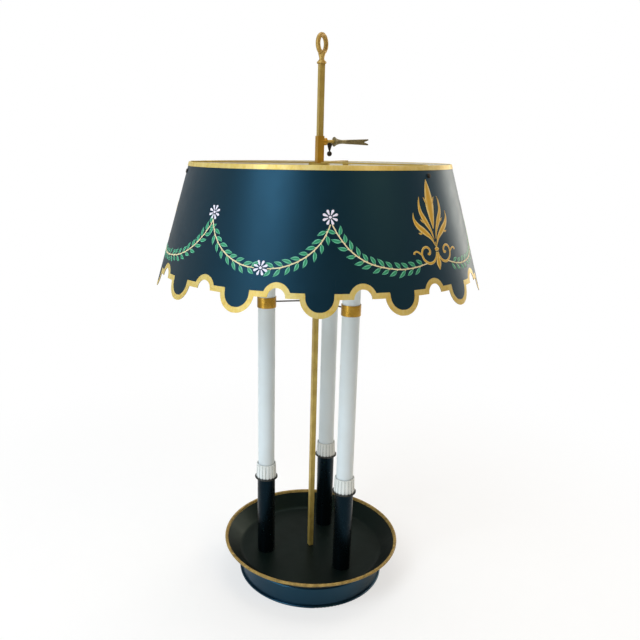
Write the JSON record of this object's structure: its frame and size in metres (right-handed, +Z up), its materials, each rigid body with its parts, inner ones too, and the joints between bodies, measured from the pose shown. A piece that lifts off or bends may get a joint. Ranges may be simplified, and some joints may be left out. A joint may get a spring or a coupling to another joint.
{
  "type": "bouillotte lamp",
  "caption": "Candle-style bouillotte lamp: dish on a weighted foot, candle tubes with lampholders, square rod, and a scalloped tole shade that slides and clamps with an arrow key.",
  "frame": {"origin": "on the table under the rod's axis, at the foot's lower face", "axes": "+Z up along the rod; the picture was taken from -Y, with +X to its right"},
  "size_m": [0.3962, 0.4026, 0.7101],
  "materials": {
    "dark_tole": "satin, very dark blue-green enamel",
    "gilt_paint": "satin gilt paint",
    "candle_white": "smooth card or plastic candle sleeve",
    "collar_white": "fluted, gloss white enamel",
    "drip_metal": "darkened",
    "band_brass": "aged satin",
    "blackened_wire": "blackened",
    "rod_brass": "aged satin",
    "aged_bronze": "dull patina",
    "dark_bronze": "blackened",
    "phenolic": "moulded",
    "shell_brass": "plain",
    "ballast_iron": "as cast",
    "green_felt": "felt",
    "rubber_black": "moulded",
    "zinc_steel": "zinc plated"
  },
  "bodies": {
    "base": {"ballast": "ballast_iron", "base_felt": "green_felt", "base_plate": "zinc_steel", "brace_arm_1": "blackened_wire", "brace_arm_2": "blackened_wire", "brace_arm_3": "blackened_wire", "brace_hub": "rod_brass", "candle_collar_1": "collar_white", "candle_collar_2": "collar_white", "candle_collar_3": "collar_white", "candle_cup_1": "dark_tole", "candle_cup_2": "dark_tole", "candle_cup_3": "dark_tole", "candle_sleeve_1": "candle_white", "candle_sleeve_2": "candle_white", "candle_sleeve_3": "candle_white", "centre_contact_1": "shell_brass", "centre_contact_2": "shell_brass", "centre_contact_3": "shell_brass", "dish": "dark_tole", "drip_ring_1": "drip_metal", "drip_ring_2": "drip_metal", "drip_ring_3": "drip_metal", "finial_cap": "rod_brass", "finial_loop": "rod_brass", "foot_skirt": "dark_tole", "inlet_grommet": "rubber_black", "lampholder_1": "phenolic", "lampholder_2": "phenolic", "lampholder_3": "phenolic", "riser_1": "zinc_steel", "riser_2": "zinc_steel", "riser_3": "zinc_steel", "riser_nuts": "zinc_steel", "riser_washers": "zinc_steel", "rod": "rod_brass", "rod_nut": "zinc_steel", "rod_washer": "zinc_steel", "screw_shell_1": "shell_brass", "screw_shell_2": "shell_brass", "screw_shell_3": "shell_brass", "sleeve_band_1": "band_brass", "sleeve_band_2": "band_brass", "sleeve_band_3": "band_brass"},
    "shade": {"shade_wall": "dark_tole", "shade_rim_band": "gilt_paint", "spider_hub": "rod_brass", "spider_arm_1": "rod_brass", "spider_arm_2": "rod_brass", "spider_arm_3": "rod_brass", "shade_screws": "dark_bronze", "shade_nuts": "zinc_steel", "slider": "rod_brass"},
    "key": {"clamp_screw": "rod_brass", "arrow_key": "aged_bronze", "key_drop": "dark_bronze"}
  },
  "joints": [
    {"name": "shade_slide", "type": "slide", "parent": "base", "child": "shade", "axis": [0, 0, 1], "range_m": [-0.035, 0.08]},
    {"name": "key_turn", "type": "hinge", "parent": "shade", "child": "key", "pos_m": [0, 0, 0.5887], "axis": [0.9205, 0.3907, 0], "range_deg": [-180, 180]}
  ]
}
